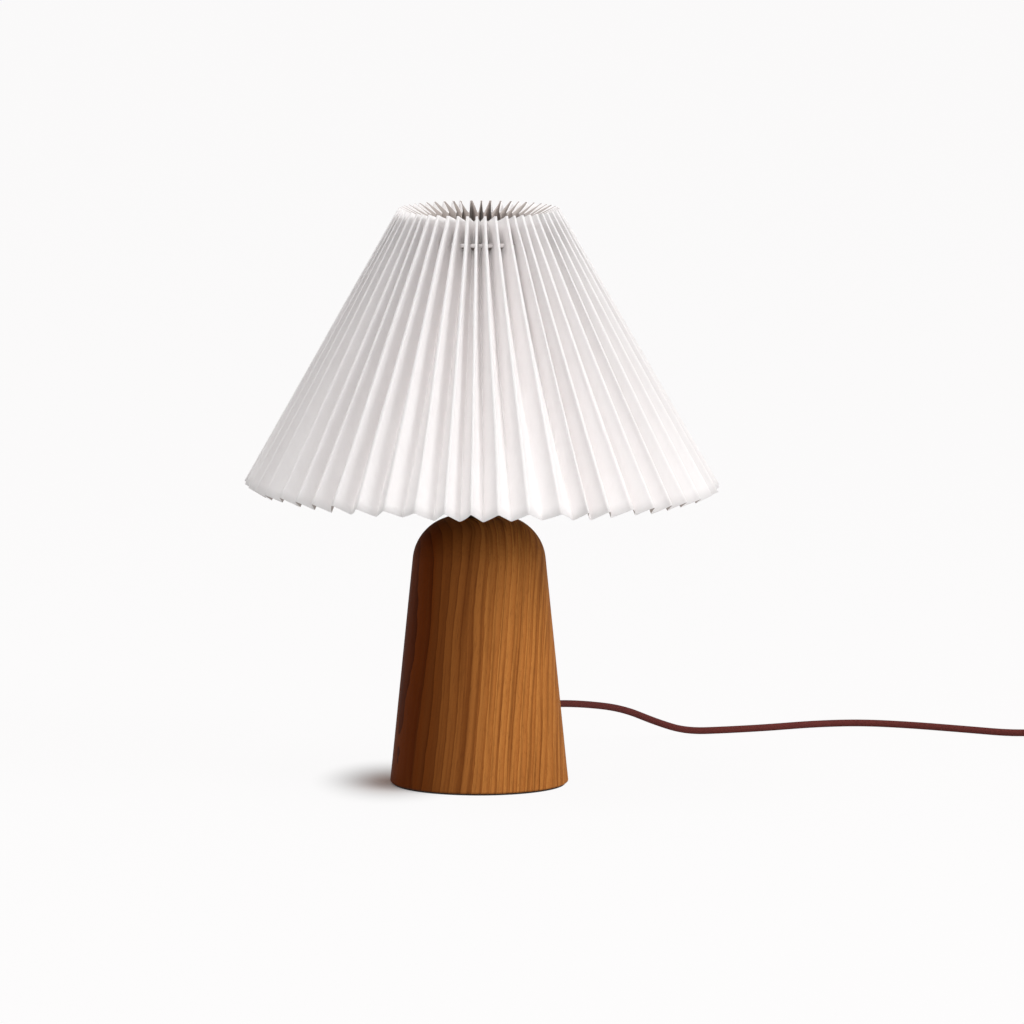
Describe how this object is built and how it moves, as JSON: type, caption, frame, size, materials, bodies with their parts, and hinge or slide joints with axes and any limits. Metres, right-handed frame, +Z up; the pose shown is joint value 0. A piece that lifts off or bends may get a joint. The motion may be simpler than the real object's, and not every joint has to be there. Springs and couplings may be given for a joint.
{
  "type": "table lamp",
  "caption": "Table lamp with a turned tapering wooden base, a wide cone shade of pleated white paper on a wire ring, and a textile cord with rocker switch and plug.",
  "frame": {"origin": "centre of the felt pad's underside, on the surface that the lamp stands on", "axes": "+Z up along the lamp's axis, +Y away from the viewer, +X to the viewer's right"},
  "size_m": [0.9382, 0.5371, 0.485],
  "materials": {
    "oiled_wood": "oiled",
    "white_paper": "matte",
    "white_wire": "satin",
    "dark_felt": "matte",
    "textile_cord": "matte",
    "brass": "satin",
    "zinc_steel": "satin",
    "black_plastic": "satin",
    "white_core": "gloss",
    "opal_diffuser": "satin",
    "bulb_metal": "satin",
    "dark_plastic": "satin"
  },
  "bodies": {
    "lamp_base": {"wooden_base": "oiled_wood", "felt_pad": "dark_felt", "cord_bush": "brass", "inner_lead": "textile_cord", "threaded_tube": "zinc_steel", "tube_washer": "zinc_steel", "tube_nut": "zinc_steel", "neck_washer": "brass", "holder_cap": "black_plastic", "holder_shell": "black_plastic", "holder_core": "white_core", "terminal_screws": "brass", "holder_sleeve": "brass", "centre_contact": "brass", "locking_collar": "black_plastic", "cord_lead": "textile_cord", "switch_base": "dark_plastic", "switch_cover": "dark_plastic", "switch_screws": "zinc_steel", "cord_tail": "textile_cord", "cord_coil": "textile_cord", "cord_tie": "dark_plastic", "plug_lead": "textile_cord", "plug_relief": "dark_plastic", "plug_body": "dark_plastic", "plug_pins": "zinc_steel"},
    "shade": {"fitter_ring": "white_wire", "frame_legs": "white_wire", "carrier_ring": "white_wire", "pleated_shade": "white_paper"},
    "bulb_foot": {"bulb_contact": "bulb_metal"},
    "bulb": {"bulb_insulator": "black_plastic", "bulb_cap": "bulb_metal", "bulb_housing": "white_core", "bulb_globe": "opal_diffuser"},
    "rocker": {"switch_rocker": "dark_plastic"}
  },
  "joints": [
    {"name": "shade_turn", "type": "hinge", "parent": "lamp_base", "child": "shade", "pos_m": [0, 0, 0.256], "axis": [0, 0, 1], "continuous": true},
    {"name": "bulb_rise", "type": "slide", "parent": "lamp_base", "child": "bulb_foot", "axis": [0, 0, 1], "range_m": [0, 0.022]},
    {"name": "bulb_turn", "type": "hinge", "parent": "bulb_foot", "child": "bulb", "pos_m": [0, 0, 0.262], "axis": [0, 0, 1], "range_deg": [0, 2180]},
    {"name": "rocker_rock", "type": "hinge", "parent": "lamp_base", "child": "rocker", "pos_m": [0.54837, 0.22295, 0.013], "axis": [0.4695, 0.8829, 0], "range_deg": [0, 14]}
  ],
  "couplings": [
    {"joint": "bulb_rise", "follows": "bulb_turn", "m_per_rad": 0.0005777}
  ]
}
